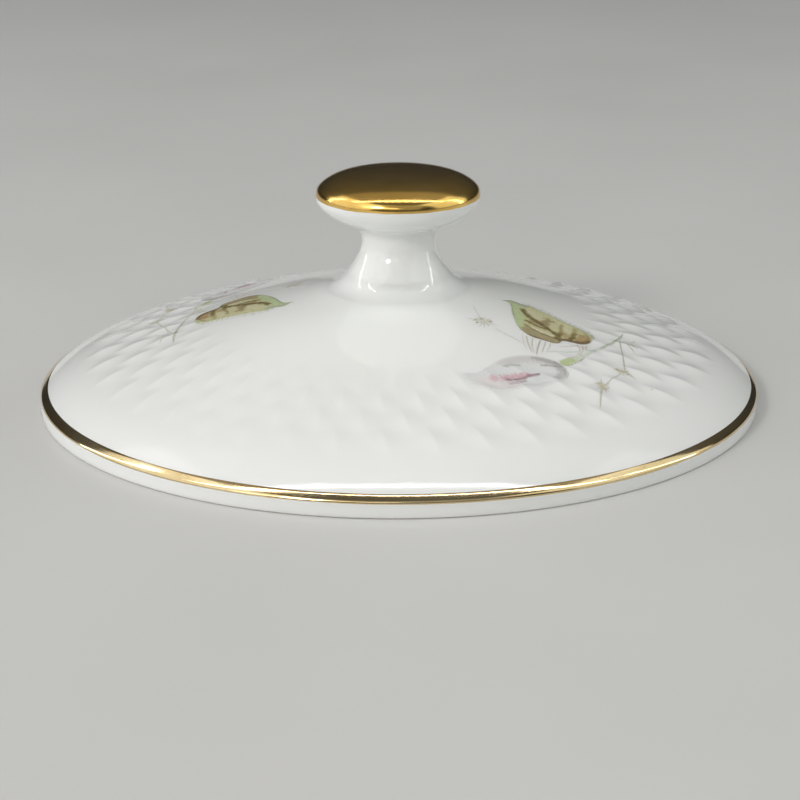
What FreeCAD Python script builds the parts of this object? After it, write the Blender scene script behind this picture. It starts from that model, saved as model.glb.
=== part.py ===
"""Porcelain lid of a sugar bowl: shallow dome, luted button knob, gilding and two enamel sprays.

Millimetres, +Z up. The origin is the centre of the ring that the lid stands on.
Every piece is drawn as a section in the X-Z plane and turned about Z, apart from the enamel
prints, which are outlines in plan cut out of a thin skin that follows the dome.
"""
import FreeCAD, Part
import math
import os

# Driving dimensions
LID_R = 50.0  # outside radius of the upright edge
SEAT_IN_R = 47.3  # inside radius of the ground ring the lid stands on
SEAT_EDGE = 0.3  # rounding between the ground ring and the upright edge
EDGE_TOP_Z = 2.0  # top of the upright edge
SHOULDER_R = 49.7  # where the dome meets the rounding above the edge
SHOULDER_Z = 2.42
SHOULDER_SLOPE = 38.0  # degrees below level, at the shoulder
VENT_R = 1.25  # firing vent through the crown of the dome, under the hollow knob
PAD_R = 9.0  # level pad that the knob is luted to
PAD_Z = 16.0
DOME_START = (10.0, 15.75)  # where the luting fillet runs out on the dome
DOME_START_SLOPE = 18.0
DOME_POINTS = [(18.0, 13.75), (27.0, 11.25), (36.0, 8.55), (42.0, 6.5), (46.0, 4.85)]
CEILING_POINTS = [(VENT_R, 13.3), (12.0, 12.2), (24.0, 9.35), (36.0, 5.85), (43.0, 3.25), (46.5, 1.3)]
CEILING_END_SLOPE = 42.0
SLIP_T = 0.3  # clay slip between the pad and the knob's foot
KNOB_FOOT_R = 7.2
KNOB_FOOT_Z = 17.75  # where the knob's flare ends and the luting fillet begins
KNOB_FOOT_SLOPE = 50.0
KNOB_R = 11.32  # widest part of the button
KNOB_WIDEST_Z = 28.5
KNOB_TOP_Z = 32.1
STEM_POINTS = [(5.9, 19.6), (5.04, 22.5), (5.55, 24.0), (7.6, 25.2), (10.1, 26.6)]
CROWN_POINTS = [(11.1, 29.58), (10.6, 30.12), (8.4, 31.26), (5.0, 31.87)]
KNOB_BORE_R = 2.4  # drain-cast hollow in the stem
BUTTON_HOLLOW_R = 7.6  # drain-cast hollow in the button
BUTTON_HOLLOW_Z = (26.6, 28.2, 29.4)  # floor at the bore, widest, ceiling
GOLD_T = 0.05
BAND_LOW_Z = 1.9  # mean height of the rim line's lower border
BAND_HIGH_Z = 2.92
BAND_TILT = 0.07  # the hand-banded line sits this much lower at +X and higher at -X
PRINT_T = 0.06  # enamel thickness above the glaze
PRINT_SKIN_R = (10.5, 44.0)  # radii between which the enamel skin is made
TWIG_W = 0.45
RAY_W = 0.35

# Outlines of one spray, in plan, as it lies on the +X side
LEAF = [(14.2, -3.5), (17.5, -3.4), (20.6, -5.7), (23.9, -7.6), (26.4, -10.0), (26.0, -12.6),
        (21.4, -14.8), (18.2, -14.3), (16.0, -12.2), (15.3, -8.0)]
ROSEBUD = [(8.4, -26.6), (12.2, -23.4), (16.6, -19.9), (20.6, -19.9), (22.2, -22.4),
           (20.2, -25.9), (14.9, -28.6), (11.0, -29.3)]
CALYX = [(21.3, -20.4), (22.2, -18.7), (24.9, -16.6), (23.6, -19.2), (22.2, -21.2)]
TWIGS = [
    [(24.4, -17.2), (26.9, -13.6), (29.7, -8.6), (30.9, -5.2)],
    [(29.5, -8.8), (32.5, -9.9)],
    [(29.8, -8.9), (30.2, -13.3), (30.0, -18.6)],
    [(29.8, -19.0), (27.2, -23.4), (25.8, -29.6)],
    [(12.9, -14.5), (16.3, -17.0), (17.7, -18.2)],
]
SPRIGS = [((11.4, -12.4), 2.1, 9), ((29.7, -18.9), 1.5, 6), ((26.8, -24.4), 1.7, 7),
          ((17.7, -17.6), 1.3, 5), ((24.2, -15.9), 1.2, 5)]  # centre, ray length, rays
SPRAYS = {"right": (0.0, (0.0, 0.0)), "left": (199.5, (0.0, -2.3))}  # turn about Z, then shift


def point(r, z):
    return FreeCAD.Vector(r, 0, z)


def slope(degrees):
    """Unit direction, outwards and down by this many degrees."""
    angle = math.radians(degrees)
    return FreeCAD.Vector(math.cos(angle), 0, -math.sin(angle))


def spline(points, start=None, end=None):
    """Smooth section edge through the points, with the tangents given at its ends."""
    curve = Part.BSplineCurve()
    places = [point(r, z) for r, z in points]
    if start is None:
        curve.interpolate(Points=places)
    else:
        curve.interpolate(Points=places, InitialTangent=start, FinalTangent=end)
    return curve.toShape()


def line(a, b):
    return Part.LineSegment(point(*a), point(*b)).toShape()


def arc(a, middle, b):
    return Part.Arc(point(*a), point(*middle), point(*b)).toShape()


def turned(edges):
    """Solid of revolution about Z of a closed section."""
    face = Part.Face(Part.Wire(Part.__sortEdges__(edges)))
    return face.revolve(FreeCAD.Vector(0, 0, 0), FreeCAD.Vector(0, 0, 1), 360)


def dome_edge():
    points = [DOME_START] + DOME_POINTS + [(SHOULDER_R, SHOULDER_Z)]
    return spline(points, slope(DOME_START_SLOPE), slope(SHOULDER_SLOPE))


def shoulder_edge():
    """Rounding from the dome to the upright edge."""
    curve = Part.BSplineCurve()
    curve.interpolate(
        Points=[point(SHOULDER_R, SHOULDER_Z), point(LID_R, EDGE_TOP_Z)],
        InitialTangent=slope(SHOULDER_SLOPE) * 0.5,
        FinalTangent=slope(90) * 0.5,
    )
    return curve.toShape()


def fillet_edge():
    """Visible surface of the luting fillet, from the knob's flare down to the dome."""
    middle = (8.2, 16.72)
    return spline([(KNOB_FOOT_R, KNOB_FOOT_Z), middle, DOME_START], slope(KNOB_FOOT_SLOPE), slope(DOME_START_SLOPE))


def underknob_edge():
    """Flare, stem and underside of the button, from the foot up to the widest part."""
    points = [(KNOB_FOOT_R, KNOB_FOOT_Z)] + STEM_POINTS + [(KNOB_R, KNOB_WIDEST_Z)]
    return spline(points, slope(KNOB_FOOT_SLOPE) * -1, slope(-90))


def crown_edge(thickness=0.0):
    """Crown of the button, or a skin's outside this much thicker all over."""
    points = [(KNOB_R, KNOB_WIDEST_Z)] + CROWN_POINTS + [(0, KNOB_TOP_Z)]
    wider = 1 + thickness / KNOB_R
    taller = 1 + thickness / (KNOB_TOP_Z - KNOB_WIDEST_Z)
    grown = [(r * wider, KNOB_WIDEST_Z + (z - KNOB_WIDEST_Z) * taller) for r, z in points]
    return spline(grown, slope(-90), slope(0) * -1)


def cover():
    """Dome with its upright edge, hollow underside, ground ring, pad and vent."""
    ceiling_end = CEILING_POINTS[-1]
    round_in = SEAT_EDGE * (1 - math.sqrt(0.5))
    edges = [
        line((VENT_R, PAD_Z), (PAD_R, PAD_Z)),
        line((PAD_R, PAD_Z), DOME_START),
        dome_edge(),
        shoulder_edge(),
        line((LID_R, EDGE_TOP_Z), (LID_R, SEAT_EDGE)),
        arc((LID_R, SEAT_EDGE), (LID_R - round_in, round_in), (LID_R - SEAT_EDGE, 0)),
        line((LID_R - SEAT_EDGE, 0), (SEAT_IN_R, 0)),
        line((SEAT_IN_R, 0), ceiling_end),
        spline(CEILING_POINTS, slope(0), slope(CEILING_END_SLOPE)),
        line(CEILING_POINTS[0], (VENT_R, PAD_Z)),
    ]
    return turned(edges)


def luting_slip():
    """Slip that joins the knob to the pad, with the fillet wiped round the foot."""
    foot_z = PAD_Z + SLIP_T
    edges = [
        line((KNOB_BORE_R, PAD_Z), (PAD_R, PAD_Z)),
        line((PAD_R, PAD_Z), DOME_START),
        fillet_edge(),
        line((KNOB_FOOT_R, KNOB_FOOT_Z), (KNOB_FOOT_R, foot_z)),
        line((KNOB_FOOT_R, foot_z), (KNOB_BORE_R, foot_z)),
        line((KNOB_BORE_R, foot_z), (KNOB_BORE_R, PAD_Z)),
    ]
    return turned(edges)


def knob():
    """Button knob, drain cast, so the stem and the button are hollow and open at the foot."""
    foot_z = PAD_Z + SLIP_T
    floor_z, wide_z, ceiling_z = BUTTON_HOLLOW_Z
    hollow = spline([(KNOB_BORE_R, floor_z), (BUTTON_HOLLOW_R, wide_z), (0, ceiling_z)])
    edges = [
        underknob_edge(),
        crown_edge(),
        line((0, KNOB_TOP_Z), (0, ceiling_z)),
        hollow,
        line((KNOB_BORE_R, floor_z), (KNOB_BORE_R, foot_z)),
        line((KNOB_BORE_R, foot_z), (KNOB_FOOT_R, foot_z)),
        line((KNOB_FOOT_R, foot_z), (KNOB_FOOT_R, KNOB_FOOT_Z)),
    ]
    return turned(edges)


def raised(edge, by):
    """Copy of a section edge, moved outwards and up by (dr, dz)."""
    copy = edge.copy()
    copy.translate(point(*by))
    return copy


def knob_gilding():
    """Gold over the whole crown, down to the widest part of the button."""
    edges = [
        crown_edge(),
        crown_edge(GOLD_T),
        line((KNOB_R, KNOB_WIDEST_Z), (KNOB_R + GOLD_T, KNOB_WIDEST_Z)),
        line((0, KNOB_TOP_Z), (0, KNOB_TOP_Z + GOLD_T)),
    ]
    return turned(edges)


def between_tilted_planes(solid, low_z, high_z):
    """Part of a solid between two planes that tilt down towards +X by the band's tilt."""
    reach = LID_R + 5
    height = high_z - low_z
    slab = Part.makeBox(2 * reach, 2 * reach, height, FreeCAD.Vector(-reach, -reach, low_z))
    slab.rotate(FreeCAD.Vector(0, 0, 0), FreeCAD.Vector(0, 1, 0), math.degrees(BAND_TILT / LID_R))
    return solid.common(slab)


def rim_gilding():
    """Gold line over the shoulder, from just below it to just above."""
    dome = dome_edge()
    shoulder = shoulder_edge()
    low = (LID_R, EDGE_TOP_Z - 1)
    edge = line((LID_R, EDGE_TOP_Z), low)
    outward = (GOLD_T, GOLD_T)
    inner_end = (DOME_START[0] + GOLD_T, DOME_START[1] + GOLD_T)
    edges = [
        dome,
        shoulder,
        edge,
        line(low, (low[0] + GOLD_T, low[1] + GOLD_T)),
        raised(edge, outward),
        raised(shoulder, outward),
        raised(dome, outward),
        line(inner_end, DOME_START),
    ]
    return between_tilted_planes(turned(edges), BAND_LOW_Z, BAND_HIGH_Z)


def print_skin():
    """Thin layer on the dome that the enamel prints are cut from."""
    dome = dome_edge()
    end = (SHOULDER_R, SHOULDER_Z)
    edges = [
        dome,
        raised(dome, (0, PRINT_T)),
        line(DOME_START, (DOME_START[0], DOME_START[1] + PRINT_T)),
        line(end, (end[0], end[1] + PRINT_T)),
    ]
    low_r, high_r = PRINT_SKIN_R
    ring = Part.makeCylinder(high_r, 30).cut(Part.makeCylinder(low_r, 30))
    return turned(edges).common(ring)


def column(wire):
    """Tall upright prism on a closed outline in plan."""
    return Part.Face(wire).extrude(FreeCAD.Vector(0, 0, 30))


def smooth_outline(points):
    curve = Part.BSplineCurve()
    curve.interpolate(Points=[FreeCAD.Vector(x, y, 0) for x, y in points], PeriodicFlag=True)
    return Part.Wire(curve.toShape())


def corner_outline(points):
    return Part.makePolygon([FreeCAD.Vector(x, y, 0) for x, y in points + points[:1]])


def stroke(a, b, width):
    """Straight stroke with square ends, from a to b in plan."""
    along = FreeCAD.Vector(b[0] - a[0], b[1] - a[1], 0)
    along.normalize()
    end = along * (width / 2)
    side = FreeCAD.Vector(-end.y, end.x, 0)
    a_point = FreeCAD.Vector(a[0], a[1], 0) - end
    b_point = FreeCAD.Vector(b[0], b[1], 0) + end
    corners = [a_point + side, b_point + side, b_point - side, a_point - side]
    return column(Part.makePolygon(corners + corners[:1]))


def leaf_column():
    return column(smooth_outline(LEAF))


def rosebud_column():
    return column(smooth_outline(ROSEBUD))


def twigs_column():
    """Calyx, stem and branches."""
    strokes = [stroke(a, b, TWIG_W) for path in TWIGS[:-1] for a, b in zip(path, path[1:])]
    return column(corner_outline(CALYX)).multiFuse(strokes)


def sprigs_column():
    """Star-shaped sprigs of thin rays, and the pale stalk between two of them."""
    stars = []
    for (x, y), reach, count in SPRIGS:
        rays = []
        for index in range(count):
            angle = 2 * math.pi * index / count
            tip = (x + reach * math.cos(angle), y + reach * math.sin(angle))
            rays.append(stroke((x, y), tip, RAY_W))
        stars.append(rays[0].multiFuse(rays[1:]))
    stalk = [stroke(a, b, RAY_W) for a, b in zip(TWIGS[-1], TWIGS[-1][1:])]
    return stars[0].multiFuse(stars[1:] + stalk)


def placed(shape, turn, shift):
    copy = shape.copy()
    copy.rotate(FreeCAD.Vector(0, 0, 0), FreeCAD.Vector(0, 0, 1), turn)
    copy.translate(FreeCAD.Vector(shift[0], shift[1], 0))
    return copy


def prints():
    """Enamel prints of both sprays. Where two colours meet, the leaf and bud lie over the rest."""
    skin = print_skin()
    leaf = leaf_column()
    bud = rosebud_column()
    twigs = twigs_column().cut(leaf.fuse(bud))
    sprigs = sprigs_column().cut(leaf.multiFuse([bud, twigs]))
    columns = {"leaf_print": leaf, "rosebud_print": bud, "twig_print": twigs, "sprig_print": sprigs}
    made = {}
    for side, (turn, shift) in SPRAYS.items():
        for name, shape in columns.items():
            made[side + "_" + name] = placed(shape, turn, shift).common(skin)
    return made


def solids_of(shape):
    solids = shape.Solids
    return solids[0] if len(solids) == 1 else Part.makeCompound(solids)


def main():
    os.makedirs("parts", exist_ok=True)
    pieces = {
        "cover": cover(),
        "knob": knob(),
        "luting_slip": luting_slip(),
        "rim_gilding": rim_gilding(),
        "knob_gilding": knob_gilding(),
    }
    pieces.update(prints())
    for name, shape in pieces.items():
        solid = solids_of(shape)
        solid.exportStep("parts/" + name + ".step")
        print(name, "valid", solid.isValid(), "solids", len(solid.Solids), "volume", round(solid.Volume, 2))


main()
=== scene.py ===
"""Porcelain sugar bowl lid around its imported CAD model: relief, luted knob, gilding and two enamel sprays.

Sections and outlines are in millimetres, as in the CAD source, and meshes are made in metres.
"""

import math

import bpy
import numpy as np
from mathutils import Matrix, Vector
from mathutils.bvhtree import BVHTree
from mathutils.geometry import delaunay_2d_cdt


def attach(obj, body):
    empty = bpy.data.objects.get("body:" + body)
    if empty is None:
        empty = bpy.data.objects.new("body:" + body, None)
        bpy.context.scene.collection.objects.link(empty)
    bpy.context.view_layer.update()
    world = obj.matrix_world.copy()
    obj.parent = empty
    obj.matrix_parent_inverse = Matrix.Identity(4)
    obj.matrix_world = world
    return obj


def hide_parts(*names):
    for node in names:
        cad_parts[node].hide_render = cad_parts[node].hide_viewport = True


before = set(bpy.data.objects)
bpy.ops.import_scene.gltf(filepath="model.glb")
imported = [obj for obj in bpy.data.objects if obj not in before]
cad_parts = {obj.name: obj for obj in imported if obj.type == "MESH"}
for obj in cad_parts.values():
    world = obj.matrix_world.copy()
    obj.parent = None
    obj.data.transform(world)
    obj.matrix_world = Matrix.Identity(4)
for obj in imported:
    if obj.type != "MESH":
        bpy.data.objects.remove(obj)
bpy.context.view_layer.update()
MM = 0.001
TURN = 2 * math.pi

# The CAD section: radius and height of its points
VENT_R = 1.25
PAD_R, PAD_Z = 9.0, 16.0
DOME = [(10.0, 15.75), (18.0, 13.75), (27.0, 11.25), (36.0, 8.55), (42.0, 6.5), (46.0, 4.85), (49.7, 2.42)]
CEILING = [(46.5, 1.3), (43.0, 3.25), (36.0, 5.85), (24.0, 9.35), (12.0, 12.2), (VENT_R, 13.3)]
SEAT_IN_R = 47.3
SEAT_EDGE = 0.3
LID_R = 50.0
EDGE_TOP_Z = 2.0
FILLET = [(7.2, 17.75), (8.2, 16.72), (10.0, 15.75)]
SLIP_TOP_Z = 16.3
KNOB_BORE_R = 2.4
STEM = [(7.2, 17.75), (5.9, 19.6), (5.04, 22.5), (5.55, 24.0), (7.6, 25.2), (10.1, 26.6), (11.32, 28.5)]
CROWN = [(11.32, 28.5), (11.1, 29.58), (10.6, 30.12), (8.4, 31.26), (5.0, 31.87), (0.0, 32.1)]
BUTTON_HOLLOW = [(2.4, 26.6), (7.6, 28.2), (0.0, 29.4)]
DOME_START_SLOPE, SHOULDER_SLOPE, FOOT_SLOPE, CEILING_SLOPE = 18, 38, 50, 42

# The relief: rows of sharp-crested ridges that lean a little and stand half a pitch apart from row to row
RIDGES = 42
PITCH = 360 / RIDGES
CELLS = 18  # mesh cells from one ridge to the next
LEAN = 0.36  # degrees of turn per millimetre outwards
LEAN_R = 36.0
RELIEF_R = (26.0, 44.6)
# Each row's middle radius, phase in mesh cells, and height
ROWS = [(41.0, 0, 0.30), (36.9, -7, 0.30), (32.8, 3, 0.27), (29.0, -6, 0.14)]
ROW_HALF = 3.3
RIDGE_TAPER = 0.35  # how fast a ridge narrows towards its ends
RIDGE_POWER = 1.8
FAINT_AT, FAINT_SHARE = -135, 0.45  # turn at which the glaze fills the relief most, and by how much
CRISP_AT, CRISP_SHARE = 130, 0.12  # and at which it stands out most

# The gold line on the shoulder
BAND_LOW_Z, BAND_HIGH_Z, BAND_TILT = 1.9, 2.92, 0.07

# The sprays: each one's turn, and its shift in plan after that
SPRAYS = [("right", 0.0, (0.0, 0.0)), ("left", 199.5, (0.0, -2.3))]

# Thin layers: gap above the surface at their border, thickness, and how far they sink into the surface
GOLD_GAP, GOLD_T, GOLD_SINK = 0.008, 0.03, 0.03
PRINT_GAP, PRINT_SINK, PRINT_ROUNDING = 0.012, 0.04, 0.3

# Points round the turned pieces
KNOB_COUNT, BAND_COUNT, CROWN_COUNT = 240, 720, 300

PORCELAIN = (0.835, 0.85, 0.84)
GLAZE_WHITE = np.array([226, 225, 221])
BRUSH_UNEVEN = 0.28  # share of a dab's soft border
STROKE_SOFT = 0.1
GLAZE_BODY = {
    "IOR": 1.52,
    "Subsurface_Weight": 0.18,
    "Subsurface_Radius": (0.0032, 0.003, 0.0026),
    "Subsurface_Scale": 0.6,
}


# ---- curves and meshes -------------------------------------------------------------------------

def heading(degrees, sign=1):
    """Unit direction in the section, outwards and down by this many degrees."""
    angle = math.radians(degrees)
    return np.array([math.cos(angle), -math.sin(angle)]) * sign


def spline(points, start=None, end=None, step=0.5):
    """Points about every step along the smooth curve through given ones, with given tangents at its ends."""
    p = np.array(points, float)
    gap = np.hypot(*np.diff(p, axis=0).T)
    count = len(p)
    matrix = np.zeros((count, count))
    right = np.zeros((count, 2))
    for i in range(1, count - 1):
        before, after = gap[i - 1], gap[i]
        matrix[i, i - 1 : i + 2] = 1 / before, 2 / before + 2 / after, 1 / after
        right[i] = 3 * (p[i] - p[i - 1]) / before**2 + 3 * (p[i + 1] - p[i]) / after**2
    for row, near, tangent, chord in ((0, 1, start, p[1] - p[0]), (-1, -2, end, p[-1] - p[-2])):
        matrix[row, row] = 1 if tangent is not None else 2
        if tangent is None:
            matrix[row, near] = 1
            tangent = 3 * chord / np.hypot(*chord)
        right[row] = tangent
    slopes = np.linalg.solve(matrix, right)
    made = []
    for i in range(count - 1):
        pieces = max(1, round(gap[i] / step))
        t = (np.arange(pieces) / pieces)[:, None]
        a = p[i] * (1 + 2 * t) * (1 - t) ** 2 + p[i + 1] * t**2 * (3 - 2 * t)
        b = slopes[i] * t * (1 - t) ** 2 - slopes[i + 1] * t**2 * (1 - t)
        made.append(a + b * gap[i])
    return np.vstack(made + [p[-1:]])


def resample(path, step):
    """Points evenly along a path, about every step."""
    run = np.concatenate([[0], np.cumsum(np.hypot(*np.diff(path, axis=0).T))])
    at = np.linspace(0, run[-1], max(2, round(run[-1] / step) + 1))
    return np.stack([np.interp(at, run, path[:, 0]), np.interp(at, run, path[:, 1])], 1)


def shade(obj, sharp_degrees):
    obj.data.shade_smooth()
    obj.data.set_sharp_from_angle(angle=math.radians(sharp_degrees))


def add_mesh(name, points, faces, sharp_degrees=60):
    """A new object from points in millimetres."""
    mesh = bpy.data.meshes.new(name)
    mesh.from_pydata((np.asarray(points) * MM).tolist(), [], faces)
    mesh.validate()
    obj = bpy.data.objects.new(name, mesh)
    bpy.context.scene.collection.objects.link(obj)
    shade(obj, sharp_degrees)
    return obj


def join_rings(first, second, fine, coarse):
    """Faces between two rings of points: the index of each ring's first point, and its number of points."""
    faces = []
    if fine == coarse:
        for i in range(fine):
            j = (i + 1) % fine
            faces.append((first + i, second + i, second + j, first + j))
        return faces
    ratio = max(fine, coarse) // min(fine, coarse)
    for i in range(min(fine, coarse)):
        j = (i + 1) % min(fine, coarse)
        if fine > coarse:
            run = [first + (i * ratio + k) % fine for k in range(ratio + 1)]
            faces.append(tuple([second + i, second + j] + run[::-1]))
        else:
            run = [second + (i * ratio + k) % coarse for k in range(ratio + 1)]
            faces.append(tuple([first + j, first + i] + run))
    return faces


def turned(name, rings, closed, lift=None, shear=None, sharp_degrees=60):
    """Surface of revolution of rings (r, z, points). A ring on the axis is one point."""
    points, starts, faces = [], [], []
    total = 0
    for r, z, count in rings:
        count = 1 if r < 1e-6 else count
        phi = np.arange(count) * 360 / count + (shear(r) if shear else 0)
        height = lift(r, phi) if lift and z > EDGE_TOP_Z else 0
        angle = np.radians(phi)
        points.append(np.stack([r * np.cos(angle), r * np.sin(angle), z + height + 0 * angle], 1))
        starts.append((total, count))
        total += count
    pairs = list(zip(starts, starts[1:] + starts[:1]))
    for (a, a_count), (b, b_count) in pairs if closed else pairs[:-1]:
        if a_count == 1:
            faces += [(a, b + i, b + (i + 1) % b_count) for i in range(b_count)]
        elif b_count == 1:
            faces += [(b, a + (i + 1) % a_count, a + i) for i in range(a_count)]
        else:
            faces += join_rings(a, b, a_count, b_count)
    return add_mesh(name, np.vstack(points), faces, sharp_degrees)


# ---- the porcelain pieces ----------------------------------------------------------------------

def relief(r, phi):
    """Height of the ridges above the dome, at a radius and turns in degrees."""
    height = 0 * phi
    for centre, phase, amount in ROWS:
        reach = min(abs(r - centre) / ROW_HALF, 1)
        window = math.cos(reach * math.pi / 2) ** 2
        turn = (phi - LEAN * (r - LEAN_R)) / PITCH - phase / CELLS
        off = 2 * np.abs(turn - np.round(turn)) / max(window**RIDGE_TAPER, 1e-4)
        height = np.maximum(height, amount * window * np.clip(1 - off, 0, 1) ** RIDGE_POWER)
    faint = np.maximum(np.cos(np.radians(phi - FAINT_AT)), 0) ** 2
    crisp = np.maximum(np.cos(np.radians(phi - CRISP_AT)), 0) ** 2
    return height * (1 - FAINT_SHARE * faint + CRISP_SHARE * crisp)


def shear(r):
    """Turn of the mesh's rings, so that the ridges' crests lie along its edges."""
    return LEAN * (min(max(r, RELIEF_R[0]), RELIEF_R[1]) - LEAN_R)


DOME_PATH = spline(DOME, heading(DOME_START_SLOPE), heading(SHOULDER_SLOPE), 0.1)
SHOULDER_PATH = spline([DOME[-1], (LID_R, EDGE_TOP_Z)], heading(SHOULDER_SLOPE), heading(90), 0.1)


def cover_rings():
    fine = RIDGES * CELLS
    coarse = fine // 3
    stops = [DOME[0][0], *RELIEF_R, DOME[-1][0]]
    radii = []
    for low, high, step in zip(stops, stops[1:], (1.0, 0.26, 0.5)):
        radii += list(np.linspace(low, high, round((high - low) / step) + 1))[:-1]
    rings = [(VENT_R, PAD_Z, coarse), (PAD_R - 1.5, PAD_Z, coarse), (PAD_R, PAD_Z, fine)]
    rings += [(r, float(np.interp(r, *DOME_PATH.T)), fine) for r in radii]
    rings += [(r, z, fine) for r, z in SHOULDER_PATH]
    rings += [(LID_R, z, fine) for z in (1.5, 0.9)]
    centre = (LID_R - SEAT_EDGE, SEAT_EDGE)
    for degrees in (0, 30, 60, 90):
        angle = math.radians(degrees)
        ring_r, ring_z = centre[0] + SEAT_EDGE * math.cos(angle), centre[1] - SEAT_EDGE * math.sin(angle)
        rings.append((ring_r, ring_z, fine))
    rings.append((SEAT_IN_R, 0.0, coarse))
    ceiling = spline(CEILING, heading(CEILING_SLOPE, -1), heading(0, -1), 1.6)
    rings += [(r, z, coarse) for r, z in ceiling]
    return rings


def sections():
    """Closed sections of the slip and the knob, as points in order."""
    steep = heading(FOOT_SLOPE)
    fillet = spline(FILLET, steep, heading(DOME_START_SLOPE), 0.2)
    skirt = [(10.35, 15.635), (10.8, 15.44), (PAD_R, PAD_Z - 0.2)]
    slip = [(KNOB_BORE_R, SLIP_TOP_Z), (FILLET[0][0], SLIP_TOP_Z), *fillet, *skirt, (KNOB_BORE_R, PAD_Z)]
    crown = spline(CROWN, heading(-90), heading(0, -1), 0.25)
    stem = spline(STEM, -steep, heading(-90), 0.25)
    hollow = spline(BUTTON_HOLLOW, step=0.5)
    foot = [(FILLET[0][0], SLIP_TOP_Z), (KNOB_BORE_R, SLIP_TOP_Z)]
    knob = [*crown[::-1], *stem[::-1][1:], *foot, *hollow]
    return slip, knob, crown


def round_section(section):
    return [(r, z, KNOB_COUNT) for r, z in section]


# ---- gilding -----------------------------------------------------------------------------------

def wave(phi, size, seed):
    """Slow unevenness of a hand-painted border, round the lid."""
    rng = np.random.default_rng(seed)
    total = 0 * phi
    for order in (2, 3, 5, 9, 14, 23, 37):
        shift = rng.uniform(0, TURN)
        total = total + np.sin(np.radians(phi * order) + shift) * rng.uniform(0.4, 1) / order**0.5
    return total * size


def skin(name, path, low, high, rows, apex=False):
    """Thin closed gold layer on a surface of revolution, from one place along its section to another.

    The places vary round the axis. With apex, the layer closes over the axis instead of ending at low.
    """
    count = len(high)
    run = np.concatenate([[0], np.cumsum(np.hypot(*np.diff(path, axis=0).T))])
    tangent = np.gradient(path, run, axis=0)
    normal = np.stack([tangent[:, 1], -tangent[:, 0]], 1)
    normal /= np.hypot(*normal.T)[:, None]
    normal *= np.sign(normal[:, 0].sum() + normal[:, 1].sum())
    angle = np.arange(count) * TURN / count
    layers = []
    for side in (1, -1):
        shares = np.linspace(0, 1, rows)
        for share in shares if side == 1 else shares[::-1]:
            at = low + (high - low) * share
            border = 1 - share if apex else min(share, 1 - share) * 2
            lift = GOLD_GAP + GOLD_T * min(1, border * 3) ** 0.6 if side == 1 else -GOLD_SINK
            r = np.interp(at, run, path[:, 0]) + lift * np.interp(at, run, normal[:, 0])
            z = np.interp(at, run, path[:, 1]) + lift * np.interp(at, run, normal[:, 1])
            layers.append(np.stack([r * np.cos(angle), r * np.sin(angle), z], 1))
    faces = []
    starts = [i * count for i in range(len(layers))]
    if apex:
        top, under = layers[0][0] * 0, layers[-1][0] * 0
        top[2], under[2] = layers[0][:, 2].max() + 0.001, layers[-1][:, 2].max() - 0.001
        last = count * len(layers)
        faces += [(last, i, (i + 1) % count) for i in range(count)]
        faces += [(last + 1, starts[-1] + (i + 1) % count, starts[-1] + i) for i in range(count)]
        layers += [top[None], under[None]]
    pairs = list(zip(starts, starts[1:] + starts[:1]))
    for a, b in pairs[:-1] if apex else pairs:
        faces += join_rings(a, b, count, count)
    return add_mesh(name, np.vstack(layers), faces, 70)


def rim_line():
    """The hand-banded gold line, which sits lower on one side."""
    phi = np.arange(BAND_COUNT) * 360 / BAND_COUNT
    path = np.vstack([DOME_PATH[DOME_PATH[:, 0] > 46], SHOULDER_PATH[1:], [(LID_R, 1.4)]])
    run = np.concatenate([[0], np.cumsum(np.hypot(*np.diff(path, axis=0).T))])
    tilt = BAND_TILT * np.cos(np.radians(phi))
    high = np.interp(-(BAND_HIGH_Z - tilt + wave(phi, 0.012, 3)), -path[:, 1], run)
    low = np.interp(-(BAND_LOW_Z - tilt + wave(phi, 0.018, 4)), -path[:, 1], run)
    return skin("gold_rim_line", path, high, low, 9)


def crown_gold(crown):
    """Gold over the crown of the knob, out to its widest part."""
    phi = np.arange(CROWN_COUNT) * 360 / CROWN_COUNT
    path = crown[::-1]
    length = np.hypot(*np.diff(path, axis=0).T).sum()
    end = length - 0.12 + wave(phi, 0.05, 5)
    return skin("gold_crown", path, 0.35, end, 56, apex=True)


# ---- enamel ------------------------------------------------------------------------------------

def linear(colour):
    """A print colour, as sRGB from 0 to 255 where GLAZE_WHITE is the bare glaze."""
    share = (np.array(colour, float) / GLAZE_WHITE) ** 2.2
    return np.minimum(share, 1) * np.array(PORCELAIN)


def distance(points, path):
    """From each point to the nearest place on an open path, and how far along the path that place is."""
    best = np.full(len(points), 1e9)
    along = np.zeros(len(points))
    run = np.concatenate([[0], np.cumsum(np.hypot(*np.diff(path, axis=0).T))])
    for i in range(len(path) - 1):
        a, b = path[i], path[i + 1]
        length = max(run[i + 1] - run[i], 1e-9)
        t = np.clip((points - a) @ (b - a) / length**2, 0, 1)
        d = np.hypot(*(points - a - t[:, None] * (b - a)).T)
        nearer = d < best
        best = np.where(nearer, d, best)
        along = np.where(nearer, (run[i] + t * length) / run[-1], along)
    return best, along


def smoothstep(x):
    x = np.clip(x, 0, 1)
    return x * x * (3 - 2 * x)


def inside(points, outline):
    """Which points lie in a closed outline."""
    found = np.zeros(len(points), bool)
    for a, b in zip(outline, np.roll(outline, -1, axis=0)):
        crosses = (a[1] > points[:, 1]) != (b[1] > points[:, 1])
        with np.errstate(divide="ignore", invalid="ignore"):
            x = a[0] + (points[:, 1] - a[1]) * (b[0] - a[0]) / (b[1] - a[1])
        found ^= crosses & (points[:, 0] < x)
    return found


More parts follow.
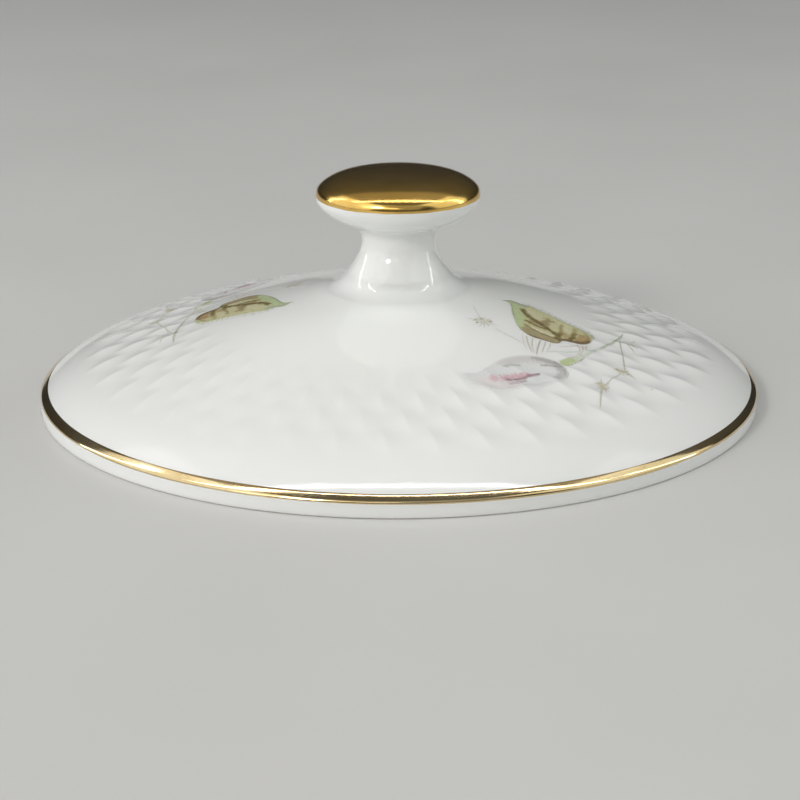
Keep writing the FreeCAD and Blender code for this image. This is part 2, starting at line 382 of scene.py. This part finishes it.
def ribbon(path, widths):
    """Outline and middle points of a brush stroke whose half-width runs through the given values."""
    line = spline(path, step=0.22) if len(path) > 2 else resample(np.array(path, float), 0.22)
    tangent = np.gradient(line, axis=0)
    tangent /= np.hypot(*tangent.T)[:, None]
    side = np.stack([-tangent[:, 1], tangent[:, 0]], 1)
    width = np.interp(np.linspace(0, 1, len(line)), np.linspace(0, 1, len(widths)), widths)[:, None]
    ends = np.array([line[0] - tangent[0] * width[0], line[-1] + tangent[-1] * width[-1]])
    outline = np.vstack([ends[:1], line + side * width, ends[1:], (line - side * width)[::-1]])
    return outline, line


def closed_curve(points, step):
    """Points along the smooth closed curve through the given ones."""
    line = spline(list(points) * 3, step=step)
    third = len(line) // 3
    near = third // 3
    ends = []
    for middle in (third, 2 * third):
        away = np.hypot(*(line[middle - near : middle + near] - points[0]).T)
        ends.append(middle - near + int(np.argmin(away)))
    return line[ends[0] : ends[1]]


def uneven(points, seed):
    """Small smooth unevenness in plan, about -1 to 1, as in hand-laid colour."""
    rng = np.random.default_rng(seed)
    total = np.zeros(len(points))
    for _ in range(8):
        angle, pace = rng.uniform(0, TURN), rng.uniform(3.0, 12.0)
        total += np.sin(pace * (points @ np.array([math.cos(angle), math.sin(angle)])) + rng.uniform(0, TURN))
    return total / 4


class Print:
    """One enamel colour of the spray: areas and strokes in plan, and the dabs that colour them."""

    def __init__(self, base, fade):
        self.base = base
        self.fade = fade
        self.outlines = []
        self.middles = []
        self.dabs = []

    def area(self, outline, spacing):
        low, high = outline.min(0), outline.max(0)
        x, y = np.meshgrid(np.arange(low[0], high[0], spacing), np.arange(low[1], high[1], spacing))
        x[1::2] += spacing / 2
        grid = np.stack([x.ravel(), y.ravel()], 1)
        grid = grid[inside(grid, outline)]
        ring = np.vstack([outline, outline[:1]])
        self.outlines.append(outline)
        self.middles.append(grid[distance(grid, ring)[0] > spacing * 0.6])

    def stroke(self, path, widths, colour=None):
        outline, line = ribbon(path, widths)
        self.outlines.append(outline)
        self.middles.append(line)
        if colour:
            self.dabs.append((colour, max(widths), STROKE_SOFT, 1.0, path))

    def colours(self, points, border):
        """Colour of each point: the dabs over the base, fading to bare porcelain at the border."""
        made = np.tile(linear(self.base), (len(points), 1))
        for order, (colour, width, soft, strength, path) in enumerate(self.dabs):
            line = spline(path, step=0.3) if len(path) > 2 else np.array(path, float)
            near = distance(points, line)[0] + BRUSH_UNEVEN * soft * uneven(points, order)
            amount = strength * (1 - smoothstep((near - width) / soft))[:, None]
            made = made * (1 - amount) + linear(colour) * amount
        bare = (1 - smoothstep(border / self.fade))[:, None]
        return made * (1 - bare) + np.array(PORCELAIN) * bare


def triangulated(a_print):
    """Points and triangles in plan that fill a print's outlines, its border's edges, and how far each point
    is from them."""
    points, edges, start = [], [], 0
    for outline in a_print.outlines:
        count = len(outline)
        points.append(outline)
        edges += [(start + i, start + (i + 1) % count) for i in range(count)]
        start += count
    points = np.vstack(points + a_print.middles)
    found = delaunay_2d_cdt([Vector(p) for p in points], edges, [], 1, 1e-5)
    flat = np.array([tuple(p) for p in found[0]])
    triangles = [tuple(t) for t in found[2]]
    count = {}
    for t in triangles:
        for a, b in zip(t, t[1:] + t[:1]):
            count[(a, b)] = count.get((a, b), 0) + 1
    rim = [(a, b) for a, b in count if (b, a) not in count]
    border = np.full(len(flat), 1e9)
    for a, b in rim:
        border = np.minimum(border, distance(flat, flat[[a, b]])[0])
    return flat, triangles, rim, border


def draped(name, shape, colours, surface, turn, shift, thickness):
    """A print laid on the cover's own surface as a thin closed layer."""
    flat, triangles, rim, border = shape
    angle = math.radians(turn)
    rotation = np.array([[math.cos(angle), -math.sin(angle)], [math.sin(angle), math.cos(angle)]])
    plan = flat @ rotation.T + np.array(shift)
    ground = []
    for x, y in plan:
        hit = surface.ray_cast(Vector((x * MM, y * MM, 0.05)), Vector((0, 0, -1)))
        ground.append(hit[0].z / MM)
    ground = np.array(ground)
    top = ground + PRINT_GAP + thickness * smoothstep(border / PRINT_ROUNDING)
    points = np.vstack([np.column_stack([plan, top]), np.column_stack([plan, ground - PRINT_SINK])])
    below = len(flat)
    faces = triangles + [tuple(below + i for i in reversed(t)) for t in triangles]
    faces += [(b, a, below + a, below + b) for a, b in rim]
    obj = add_mesh(name, points, faces, 75)
    paint = obj.data.color_attributes.new("paint", "FLOAT_COLOR", "POINT")
    rgba = np.ones((2 * below, 4))
    rgba[:, :3] = np.vstack([colours, colours])
    paint.data.foreach_set("color", rgba.ravel())
    return obj


def leaf():
    outline = [
        (14.0, -3.75), (14.7, -3.2), (15.5, -2.8), (16.4, -3.1), (17.1, -3.5), (18.0, -3.6), (19.2, -4.5),
        (20.6, -5.4), (22.2, -6.5), (23.8, -7.4), (25.2, -8.2), (26.1, -9.2), (26.35, -10.3), (26.15, -11.5),
        (25.6, -12.6), (24.6, -13.4), (23.2, -13.55), (22.0, -13.8), (21.6, -14.5), (20.9, -15.0),
        (19.4, -14.85), (17.9, -14.55), (16.9, -13.8), (16.1, -12.5), (15.7, -10.8), (15.45, -8.8),
        (15.35, -6.8), (15.3, -5.0), (15.0, -4.15), (14.5, -3.85),
    ]
    made = Print((193, 186, 139), 0.2)
    made.area(closed_curve(outline, 0.15), 0.13)
    edge = np.array(outline[4:13], float)
    run = resample(spline(edge, step=0.2), 0.36)
    pale_hairs = [(208, 217, 156), (220, 225, 183), (180, 182, 133)]
    dark_hairs = [(167, 170, 121), (201, 204, 162)]
    rng = np.random.default_rng(11)
    for i, (x, y) in enumerate(run):
        reach = rng.uniform(0.55, 1.15)
        pale = 7 <= i <= 14
        tip = (x + 0.15 + 0.2 * reach, y + reach * (1.4 if pale else 0.9))
        tones = pale_hairs if pale else dark_hairs
        made.stroke([(x - 0.1, y - 0.5), tip], (0.19, 0.06), tones[i % len(tones)])
    midrib = [(17.0, -5.8), (17.7, -7.9), (18.8, -9.2), (20.0, -10.6), (21.4, -12.2)]
    made.dabs += [
        ((204, 199, 154), 1.2, 1.2, 0.9, [(18.4, -5.4), (21.2, -7.8), (24.2, -10.0)]),
        ((187, 199, 150), 0.4, 1.2, 1.0, [(15.8, -4.2), (15.9, -7.5), (16.1, -11.6)]),
        ((170, 175, 152), 0.25, 0.4, 0.9, [(14.1, -3.7), (15.2, -3.3), (16.5, -3.7), (17.4, -4.4)]),
        ((140, 150, 122), 0.06, 0.28, 0.75, [(15.4, -4.4), (15.5, -8.4), (15.9, -11.8), (16.9, -13.7)]),
        ((161, 147, 114), 0.5, 0.8, 0.9, [(17.2, -12.7), (18.6, -13.8), (21.0, -14.3)]),
        ((148, 129, 94), 0.35, 0.9, 0.85, [(18.6, -9.4), (19.9, -9.2), (20.4, -8.0)]),
        ((206, 199, 161), 0.3, 0.6, 0.9, [(18.0, -5.6), (18.7, -7.0), (19.2, -7.8)]),
        ((212, 204, 168), 0.2, 0.4, 1.0, [(18.1, -11.7), (19.5, -12.3), (20.8, -12.8)]),
        ((204, 195, 152), 0.4, 0.5, 0.9, [(21.2, -8.8), (21.1, -10.4)]),
        ((209, 201, 160), 0.4, 0.5, 0.9, [(22.9, -8.4), (22.8, -10.3)]),
        ((174, 156, 116), 0.4, 0.6, 0.8, [(22.4, -11.2), (22.9, -12.1)]),
        ((197, 188, 144), 0.35, 0.5, 0.9, [(24.6, -9.0), (24.8, -9.8)]),
        ((174, 143, 102), 0.5, 0.6, 0.9, [(24.9, -10.9), (25.2, -11.6), (24.6, -12.2)]),
        ((110, 95, 60), 0.1, 0.5, 0.95, midrib),
        ((116, 99, 64), 0.05, 0.42, 0.85, [(17.3, -9.6), (18.7, -10.7), (19.9, -11.1)]),
        ((126, 109, 76), 0.05, 0.4, 0.75, [(17.2, -11.2), (18.9, -12.7), (21.2, -13.4)]),
        ((116, 100, 60), 0.1, 0.45, 0.9, [(21.1, -13.2), (21.6, -12.2), (21.9, -11.4)]),
        ((148, 132, 92), 0.05, 0.4, 0.75, [(21.9, -11.4), (22.0, -10.0), (22.3, -8.4)]),
        ((116, 101, 58), 0.1, 0.45, 0.9, [(23.0, -12.9), (23.6, -11.4), (23.85, -10.2)]),
        ((165, 149, 102), 0.05, 0.4, 0.75, [(23.85, -10.2), (24.0, -8.4)]),
        ((148, 128, 92), 0.05, 0.32, 0.7, [(25.6, -12.0), (25.6, -10.0), (25.3, -8.8)]),
        ((112, 95, 70), 0.22, 0.55, 0.9, [(21.7, -13.5), (23.3, -13.1), (24.8, -12.9), (25.7, -12.1)]),
        ((122, 107, 80), 0.06, 0.35, 0.85, [(17.2, -14.0), (19.0, -14.6), (21.2, -14.8), (21.9, -13.9)]),
        ((182, 184, 139), 0.06, 0.35, 0.7, [(17.6, -3.8), (20.6, -5.7), (23.8, -7.7), (26.0, -9.7)]),
    ]
    return made


def rosebud():
    outline = [
        (8.2, -26.5), (9.8, -26.0), (11.0, -25.0), (12.2, -23.4), (13.4, -21.9), (15.0, -20.7), (16.8, -19.9),
        (18.6, -19.6), (20.4, -19.8), (21.6, -20.7), (22.2, -22.3), (22.0, -23.8), (21.2, -25.1),
        (19.8, -26.3), (18.0, -27.5), (16.2, -28.2), (14.6, -29.0), (12.8, -29.5), (11.0, -29.3),
        (9.6, -28.7), (8.8, -27.6),
    ]
    made = Print((225, 223, 219), 0.6)
    made.area(closed_curve(outline, 0.2), 0.15)
    made.dabs += [
        ((208, 204, 200), 0.5, 1.0, 0.85, [(13.4, -22.9), (16.2, -21.0), (19.4, -20.6)]),
        ((184, 180, 175), 0.3, 0.7, 0.9, [(18.0, -20.3), (19.8, -20.5), (21.4, -21.7)]),
        ((227, 226, 222), 0.5, 0.7, 0.9, [(13.2, -24.3), (15.6, -23.9), (18.2, -23.0)]),
        ((226, 218, 215), 0.6, 0.9, 0.9, [(11.0, -27.7), (12.4, -27.9), (14.4, -28.1)]),
        ((214, 176, 180), 0.1, 0.9, 1.0, [(12.3, -26.9), (14.2, -26.2), (15.6, -25.6), (16.6, -25.2)]),
        ((229, 214, 214), 0.15, 0.5, 0.7, [(12.8, -26.4), (13.1, -27.1)]),
        ((234, 234, 230), 0.8, 0.7, 1.0, [(17.0, -26.7), (18.7, -25.6), (19.6, -23.9)]),
        ((196, 192, 189), 0.35, 0.55, 0.9, [(20.9, -24.4), (21.4, -23.2), (21.4, -22.3)]),
        ((160, 132, 138), 0.06, 0.36, 0.95, [(14.0, -26.8), (15.4, -26.4), (16.9, -25.2), (18.2, -24.3)]),
        ((190, 168, 172), 0.1, 0.4, 0.8, [(14.4, -27.5), (15.5, -27.1), (16.3, -26.5)]),
        ((164, 162, 157), 0.05, 0.25, 0.85, [(18.7, -22.0), (20.2, -21.7), (21.6, -21.2)]),
        ((184, 184, 180), 0.08, 0.32, 0.85, [(13.7, -23.6), (14.6, -23.2), (15.7, -22.9)]),
        ((142, 143, 138), 0.06, 0.24, 0.9, [(20.5, -20.4), (21.5, -21.1), (21.9, -22.4), (21.8, -23.9)]),
        ((214, 210, 207), 0.1, 0.4, 0.8, [(14.2, -28.6), (17.0, -27.5), (19.6, -26.1)]),
        ((222, 221, 218), 0.2, 0.5, 0.8, [(9.2, -26.7), (10.4, -26.5), (11.8, -25.8)]),
    ]
    return made


def twigs():
    made = Print((216, 221, 194), 0.14)
    calyx = [
        (21.0, -20.2), (21.9, -18.9), (23.2, -17.6), (24.9, -16.2),
        (24.6, -17.6), (23.9, -19.0), (22.8, -20.4), (21.9, -21.0),
    ]
    made.area(closed_curve(calyx, 0.15), 0.2)
    made.dabs += [
        ((188, 199, 150), 0.3, 0.7, 1.0, [(21.7, -20.2), (22.7, -19.1)]),
        ((224, 226, 206), 0.3, 0.6, 0.9, [(23.8, -17.9), (24.6, -16.8)]),
        ((166, 177, 142), 0.04, 0.22, 0.8, [(22.0, -20.9), (23.4, -19.6), (24.4, -17.9)]),
    ]
    branch = [(27.4, -12.7), (28.6, -10.7), (29.8, -8.4), (30.9, -5.1)]
    pale_stalk = [(19.2, -18.0), (22.0, -16.9), (24.7, -15.4), (26.4, -14.2)]
    lines = [
        ([(24.3, -17.2), (26.0, -14.7), (27.6, -12.4)], (0.34, 0.32, 0.26), (214, 219, 198)),
        (branch, (0.26, 0.28, 0.26, 0.08), (184, 192, 162)),
        ([(29.6, -8.9), (31.0, -9.3), (32.5, -9.9)], (0.18, 0.28, 0.08), (160, 156, 128)),
        ([(30.6, -8.4), (31.6, -8.2), (32.4, -6.6)], (0.14, 0.12, 0.05), (186, 190, 166)),
        ([(31.0, -9.5), (31.6, -10.4), (31.9, -11.6)], (0.15, 0.13, 0.05), (180, 178, 154)),
        ([(30.1, -8.7), (30.1, -13.0), (30.0, -18.4)], (0.14, 0.14, 0.16), (196, 192, 168)),
        (pale_stalk, (0.08, 0.18, 0.18, 0.1), (205, 209, 196)),
        ([(21.4, -15.7), (23.2, -14.7), (25.4, -13.8)], (0.1, 0.24, 0.1), (218, 200, 196)),
    ]
    for path, widths, colour in lines:
        made.stroke(path, widths, colour)
    made.dabs.append(((136, 130, 104), 0.06, 0.2, 0.9, [(31.4, -9.4), (32.4, -9.9)]))
    return made


def sprigs():
    made = Print((235, 235, 231), 0.05)
    rng = np.random.default_rng(23)
    # Each star's middle, its rays' reach and number, and the radius of the haze in its middle
    stars = [(11.4, -12.4, 2.4, 13, 1.2), (29.6, -18.9, 1.7, 8, 0.9), (26.5, -24.2, 1.9, 9, 0.9)]
    for x, y, reach, rays, haze in stars:
        ring = [(x + haze * 1.1 * math.cos(a), y + haze * math.sin(a)) for a in np.arange(12) * TURN / 12]
        made.area(closed_curve(ring, 0.2), 0.15)
        middle = [(x - 0.2, y), (x + 0.25, y + 0.05)]
        made.dabs.append(((208, 205, 188), haze * 0.1, haze * 0.8, 0.85, middle))
    for x, y, reach, rays, haze in stars:
        for i in range(rays):
            angle = TURN * (i + rng.uniform(-0.3, 0.3)) / rays
            out = np.array([math.cos(angle), math.sin(angle)])
            near, far = haze * rng.uniform(0.3, 0.75), reach * rng.uniform(0.55, 1.0)
            tone = [(206, 199, 176), (212, 207, 188), (192, 182, 154)][rng.choice(3)]
            ray = [(x, y) + near * out, (x, y) + far * out]
            made.stroke(ray, (0.12, 0.06))
            made.dabs.append((tone, 0.02, 0.09, 0.9, ray))
    anthers = [
        (12.3, -12.1), (10.5, -13.0), (11.2, -11.7), (10.3, -12.2),
        (30.4, -19.2), (28.9, -18.6), (26.9, -24.8), (26.1, -23.8),
    ]
    for x, y in anthers:
        made.stroke([(x - 0.08, y - 0.06), (x + 0.1, y + 0.08)], (0.09, 0.08), (178, 166, 142))
    lines = [
        ([(11.0, -11.4), (10.6, -9.8), (10.2, -7.9)], (0.12, 0.06), (206, 202, 188)),
        ([(12.9, -13.9), (14.6, -15.3), (16.8, -17.0)], (0.16, 0.22, 0.09), (218, 219, 205)),
        ([(29.3, -19.6), (27.9, -21.9), (26.9, -23.8)], (0.13, 0.15, 0.13), (208, 204, 184)),
        ([(26.4, -24.8), (26.1, -27.0), (25.8, -29.8)], (0.22, 0.16, 0.06), (204, 196, 174)),
        ([(16.6, -14.3), (16.6, -16.2), (16.9, -18.3)], (0.09, 0.10, 0.06), (218, 208, 184)),
        ([(17.1, -14.6), (17.2, -16.4), (17.6, -18.7)], (0.13, 0.16, 0.07), (200, 186, 156)),
        ([(17.9, -14.8), (17.7, -16.6), (17.9, -18.9)], (0.12, 0.13, 0.06), (212, 202, 176)),
        ([(18.9, -15.0), (18.5, -16.9), (18.2, -19.2)], (0.15, 0.16, 0.07), (198, 186, 154)),
        ([(19.6, -15.0), (19.3, -16.6), (18.9, -18.4)], (0.09, 0.12, 0.06), (214, 206, 184)),
        ([(20.3, -15.0), (20.0, -16.4), (19.7, -17.6)], (0.09, 0.10, 0.06), (220, 212, 192)),
        ([(23.9, -13.9), (24.2, -15.2), (23.6, -17.2)], (0.12, 0.13, 0.06), (206, 192, 168)),
        ([(24.7, -13.8), (24.5, -15.6), (24.0, -16.9)], (0.10, 0.13, 0.06), (200, 186, 160)),
        ([(25.3, -13.4), (25.0, -14.8), (25.3, -15.8)], (0.09, 0.12, 0.06), (212, 200, 178)),
        ([(30.3, -18.6), (31.0, -19.6), (31.3, -20.2)], (0.13, 0.16, 0.07), (208, 200, 180)),
        ([(28.4, -18.6), (29.4, -18.9), (30.4, -18.3)], (0.12, 0.22, 0.08), (202, 194, 170)),
        ([(26.2, -23.4), (26.6, -24.6), (26.9, -25.6)], (0.12, 0.22, 0.08), (204, 195, 170)),
    ]
    for path, widths, colour in lines:
        made.stroke(path, widths, colour)
    return made


# ---- materials ---------------------------------------------------------------------------------

class Nodes:
    """A material's node tree, built one node at a time."""

    def __init__(self, name):
        self.material = bpy.data.materials.new(name)
        self.material.use_nodes = True
        self.tree = self.material.node_tree
        self.bsdf = self.tree.nodes["Principled BSDF"]

    def add(self, kind, inputs=None, **settings):
        node = self.tree.nodes.new(kind)
        for key, value in settings.items():
            setattr(node, key, value)
        for key, value in (inputs or {}).items():
            self.put(node.inputs[key], value)
        return node

    def put(self, socket, value):
        if isinstance(value, bpy.types.NodeSocket):
            self.tree.links.new(value, socket)
        else:
            socket.default_value = value

    def place(self):
        return self.add("ShaderNodeTexCoord").outputs["Object"]

    def noise(self, vector, scale, detail=2.0, roughness=0.5):
        values = {"Vector": vector, "Scale": scale, "Detail": detail, "Roughness": roughness}
        return self.add("ShaderNodeTexNoise", values).outputs["Fac"]

    def ramp(self, value, stops):
        node = self.add("ShaderNodeValToRGB", {"Fac": value})
        elements = node.color_ramp.elements
        while len(elements) < len(stops):
            elements.new(0.5)
        for element, (at, colour) in zip(elements, stops):
            element.position = at
            element.color = (*colour, 1) if len(colour) == 3 else colour
        return node.outputs["Color"]

    def span(self, value, low, high, to_low, to_high):
        values = {0: value, 1: low, 2: high, 3: to_low, 4: to_high}
        return self.add("ShaderNodeMapRange", values).outputs[0]

    def math(self, operation, a, b=0.0):
        return self.add("ShaderNodeMath", {0: a, 1: b}, operation=operation).outputs[0]

    def mix(self, factor, a, b, blend="MIX"):
        node = self.add("ShaderNodeMix", data_type="RGBA", blend_type=blend)
        self.put(node.inputs[0], factor)
        self.put(node.inputs[6], a)
        self.put(node.inputs[7], b)
        return node.outputs[2]

    def bump(self, height, distance, before=None):
        values = {"Height": height, "Distance": distance, "Strength": 1.0}
        if before:
            values["Normal"] = before
        return self.add("ShaderNodeBump", values).outputs["Normal"]

    def finish(self, **sockets):
        for key, value in sockets.items():
            self.put(self.bsdf.inputs[key.replace("_", " ")], value)
        return self.material


def glaze_bumps(n, place):
    """The slight orange peel of a fired glaze, with a fine ripple in it."""
    peel = n.noise(place, 620.0, 2.0, 0.45)
    wide = n.noise(place, 130.0, 1.0)
    return n.bump(peel, 9e-6, n.bump(wide, 2.5e-5))


def porcelain_material():
    n = Nodes("glazed_porcelain")
    place = n.place()
    tint = n.ramp(n.noise(place, 38.0, 3.0), [(0.3, (0.82, 0.84, 0.825)), (0.7, (0.85, 0.86, 0.855))])
    cell = n.add("ShaderNodeTexVoronoi", {"Vector": place, "Scale": 150.0, "Randomness": 1.0}).outputs
    rare = n.math("GREATER_THAN", n.add("ShaderNodeSeparateColor", {0: cell["Color"]}).outputs[0], 0.93)
    dot = n.math("MULTIPLY", n.span(cell["Distance"], 0.0, 0.04, 0.55, 0.0), rare)
    specked = n.mix(dot, tint, (0.30, 0.25, 0.20, 1))
    height = n.add("ShaderNodeSeparateXYZ", {0: place}).outputs["Z"]
    bare = n.span(height, 0.00006, 0.00022, 1.0, 0.0)
    grain = n.noise(place, 5200.0, 3.0, 0.7)
    biscuit = n.ramp(grain, [(0.35, (0.66, 0.62, 0.55)), (0.65, (0.80, 0.77, 0.71))])
    gloss = n.span(n.noise(place, 75.0, 3.0), 0.3, 0.7, 0.05, 0.10)
    rough = n.add("ShaderNodeMix", {0: bare, 2: gloss, 3: 0.75}).outputs[0]
    return n.finish(
        Base_Color=n.mix(bare, specked, biscuit),
        Roughness=rough,
        Normal=glaze_bumps(n, place),
        **GLAZE_BODY,
    )


def gold_material(name, worn, tones, gloss):
    n = Nodes(name)
    place = n.place()
    parts = n.add("ShaderNodeSeparateXYZ", {0: place}).outputs
    squares = [n.math("MULTIPLY", part, part) for part in (parts[0], parts[1])]
    radius = n.math("SQRT", n.math("ADD", *squares))
    turn = n.math("MULTIPLY", n.math("ARCTAN2", parts[1], parts[0]), 0.0012)
    around = n.add("ShaderNodeCombineXYZ", {0: radius, 1: turn, 2: parts[2]}).outputs[0]
    brush = n.noise(around, 2600.0, 3.0, 0.6)
    cloud = n.noise(place, 210.0, 3.0)
    tone = n.ramp(cloud, [(0.3, tones[0]), (0.7, tones[1])])
    rubbed = n.span(n.noise(place, 900.0, 5.0, 0.7), 0.60, 0.72, 0.0, worn)
    colour = n.mix(rubbed, tone, (0.46, 0.34, 0.19, 1))
    rough = n.math("ADD", n.span(brush, 0.3, 0.7, *gloss), n.math("MULTIPLY", rubbed, 0.2))
    height = n.bump(brush, 6e-7, n.bump(n.noise(place, 420.0, 2.0), 2.5e-6))
    return n.finish(Base_Color=colour, Roughness=rough, Normal=height, Metallic=1.0)


def enamel_material(name, mottle, gloss):
    """Overglaze colour: the painted colour, broken up by the grain of the pigment."""
    n = Nodes(name)
    place = n.place()
    paint = n.add("ShaderNodeVertexColor", layer_name="paint").outputs["Color"]
    grain = n.ramp(n.noise(place, 3200.0, 4.0, 0.7), [(0.3, (1 - mottle,) * 3), (0.7, (1 + mottle,) * 3)])
    colour = n.mix(1.0, paint, grain, "MULTIPLY")
    rough = n.span(n.noise(place, 700.0, 3.0), 0.3, 0.7, gloss, gloss + 0.12)
    return n.finish(
        Base_Color=colour,
        Roughness=rough,
        Normal=n.bump(n.noise(place, 2600.0, 3.0), 4e-6, glaze_bumps(n, place)),
        **GLAZE_BODY,
    )


def floor_material():
    n = Nodes("pale_floor")
    place = n.place()
    tone = n.ramp(n.noise(place, 9.0, 4.0), [(0.3, (0.60, 0.605, 0.60)), (0.7, (0.635, 0.64, 0.635))])
    rough = n.span(n.noise(place, 30.0, 3.0), 0.3, 0.7, 0.55, 0.65)
    return n.finish(Base_Color=tone, Roughness=rough)


# ---- the model ---------------------------------------------------------------------------------

def finish_piece(obj, node, material):
    obj.data.materials.append(material)
    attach(obj, "root")
    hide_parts(node)


def build():
    porcelain = porcelain_material()
    gold_rim = gold_material("gold_rim", 0.6, ((0.74, 0.56, 0.29), (0.86, 0.70, 0.42)), (0.06, 0.15))
    gold_knob = gold_material("gold_knob", 0.35, ((0.80, 0.51, 0.13), (0.90, 0.60, 0.18)), (0.14, 0.22))
    slip, knob, crown = sections()
    cover = turned("cover_with_relief", cover_rings(), True, relief, shear)
    body = turned("knob_body", round_section(knob), False, sharp_degrees=32)
    fillet = turned("luting_fillet", round_section(slip), True, sharp_degrees=32)
    finish_piece(cover, "cover", porcelain)
    finish_piece(body, "knob", porcelain)
    finish_piece(fillet, "luting_slip", porcelain)
    finish_piece(rim_line(), "rim_gilding", gold_rim)
    finish_piece(crown_gold(crown), "knob_gilding", gold_knob)

    surface = BVHTree.FromObject(cover, bpy.context.evaluated_depsgraph_get())
    kinds = [
        ("leaf_print", leaf(), "leaf_enamel", 0.045, enamel_material("leaf_enamel", 0.16, 0.14)),
        ("rosebud_print", rosebud(), "rose_enamel", 0.035, enamel_material("rose_enamel", 0.05, 0.12)),
        ("twig_print", twigs(), "twig_enamel", 0.03, enamel_material("twig_enamel", 0.14, 0.14)),
        ("sprig_print", sprigs(), "sprig_enamel", 0.02, enamel_material("sprig_enamel", 0.12, 0.14)),
    ]
    for kind, a_print, slot, thickness, material in kinds:
        shape = triangulated(a_print)
        colours = a_print.colours(shape[0], shape[3])
        for side, turn, shift in SPRAYS:
            obj = draped(f"{side}_{kind}_layer", shape, colours, surface, turn, shift, thickness)
            finish_piece(obj, f"{side}_{kind}", material)


# ---- studio ------------------------------------------------------------------------------------

def area_light(name, azimuth, elevation, distance, size, brightness, colour=(1, 1, 1)):
    """A soft box that faces the lid, with its width level. Azimuth is from +X, brightness is its radiance."""
    data = bpy.data.lights.new(name, "AREA")
    data.shape = "RECTANGLE"
    data.size, data.size_y = size
    data.energy = brightness * math.pi * size[0] * size[1]
    data.color = colour
    light = bpy.data.objects.new(name, data)
    a, e = math.radians(azimuth), math.radians(elevation)
    away = Vector((math.cos(a) * math.cos(e), math.sin(a) * math.cos(e), math.sin(e)))
    right = Vector((-math.sin(a), math.cos(a), 0))
    axes = Matrix((right, away.cross(right), away)).transposed().to_4x4()
    light.matrix_world = Matrix.Translation(away * distance) @ axes
    bpy.context.scene.collection.objects.link(light)


def world_light():
    """Dim light all round, which rises from the horizon to the zenith."""
    world = bpy.data.worlds.new("studio")
    world.use_nodes = True
    tree = world.node_tree
    split = tree.nodes.new("ShaderNodeSeparateXYZ")
    ramp = tree.nodes.new("ShaderNodeValToRGB")
    ramp.color_ramp.interpolation = "EASE"
    low, high = ramp.color_ramp.elements
    low.position, low.color = 0.0, (0.03, 0.03, 0.029, 1)
    high.position, high.color = 0.9, (0.11, 0.11, 0.106, 1)
    tree.links.new(tree.nodes.new("ShaderNodeTexCoord").outputs["Generated"], split.inputs[0])
    tree.links.new(split.outputs["Z"], ramp.inputs["Fac"])
    tree.links.new(ramp.outputs["Color"], tree.nodes["Background"].inputs["Color"])
    return world


def studio():
    bpy.ops.mesh.primitive_plane_add(size=12.0, location=(0, 0, 0))
    floor = bpy.context.object
    floor.name = "floor"
    floor.data.materials.append(floor_material())
    area_light("tube", -90, 88.4, 0.75, (1.30, 0.034), 9.2)
    area_light("key", -121, 30, 0.95, (0.15, 0.13), 38.0, (1.0, 0.96, 0.92))
    area_light("warm_panel", -116, 28, 0.95, (0.85, 0.16), 1.5, (1.0, 0.90, 0.80))
    area_light("left_panel", 195, 32, 0.80, (1.25, 0.90), 0.96)
    area_light("right_panel", -8, 32, 0.85, (0.95, 0.90), 0.85, (0.97, 1.0, 0.96))
    area_light("left_strip", 160, 26, 0.78, (0.045, 0.62), 5.5)
    area_light("right_strip", 8, 26, 0.80, (0.045, 0.62), 6.0)
    area_light("fill", -98, 36, 1.10, (1.80, 1.00), 0.26)
    area_light("top_glow", 90, 74, 0.85, (1.20, 0.44), 0.21, (1.0, 0.90, 0.76))
    bpy.context.scene.world = world_light()
    bpy.context.scene.view_settings.view_transform = "Standard"


CAMERA_ELEVATION = 17.90
CAMERA_DISTANCE = 0.335
CAMERA_LENS = 106.74
CAMERA_PITCH, CAMERA_YAW, CAMERA_ROLL = -0.174, 0.026, -0.22


def camera():
    data = bpy.data.cameras.new("camera")
    data.lens = CAMERA_LENS
    data.sensor_width = 36.0
    data.clip_start, data.clip_end = 0.01, 20.0
    obj = bpy.data.objects.new("camera", data)
    bpy.context.scene.collection.objects.link(obj)
    e = math.radians(CAMERA_ELEVATION)
    place = Vector((0, -math.cos(e), math.sin(e))) * CAMERA_DISTANCE
    ahead = -place.normalized()
    right = Vector((1, 0, 0))
    up = right.cross(ahead)
    pitch, yaw = math.radians(CAMERA_PITCH), math.radians(CAMERA_YAW)
    ahead = (ahead + up * math.tan(pitch) + right * math.tan(yaw)).normalized()
    right = ahead.cross(Vector((0, 0, 1))).normalized()
    up = right.cross(ahead)
    roll = math.radians(CAMERA_ROLL)
    rolled_right = right * math.cos(roll) + up * math.sin(roll)
    rolled_up = up * math.cos(roll) - right * math.sin(roll)
    axes = Matrix((rolled_right, rolled_up, -ahead)).transposed().to_4x4()
    obj.matrix_world = Matrix.Translation(place) @ axes
    bpy.context.scene.camera = obj


build()
studio()
camera()
